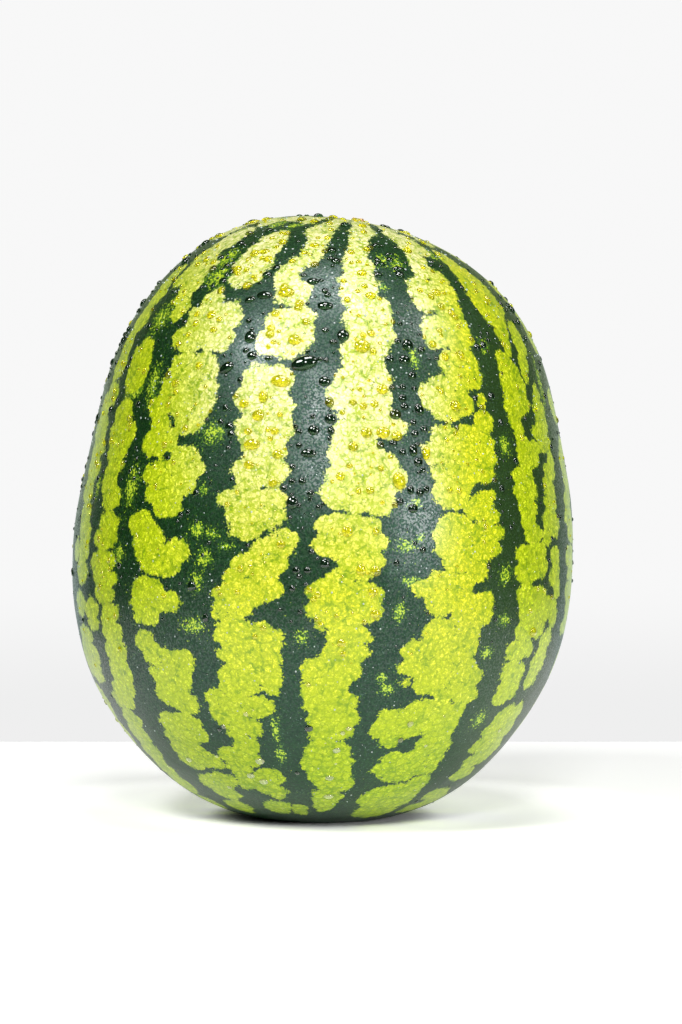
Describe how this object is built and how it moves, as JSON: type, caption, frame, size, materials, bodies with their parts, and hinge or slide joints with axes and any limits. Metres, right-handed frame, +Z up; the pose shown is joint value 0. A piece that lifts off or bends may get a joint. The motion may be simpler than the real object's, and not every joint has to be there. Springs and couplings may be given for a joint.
{
  "type": "watermelon",
  "caption": "Whole striped watermelon, a blunt egg-shaped fruit that stands upright on a small flat spot, with a corky stalk scar on its crown.",
  "frame": {"origin": "middle of the flat spot that the fruit rests on, at its blossom end", "axes": "+Z up from the flat spot to the stalk end, -Y towards the front shown in the picture, +X to its right"},
  "size_m": [0.2093, 0.2096, 0.2503],
  "materials": {
    "rind": "satin",
    "water": "gloss"
  },
  "bodies": {
    "root": {"watermelon": "rind"}
  },
  "joints": []
}
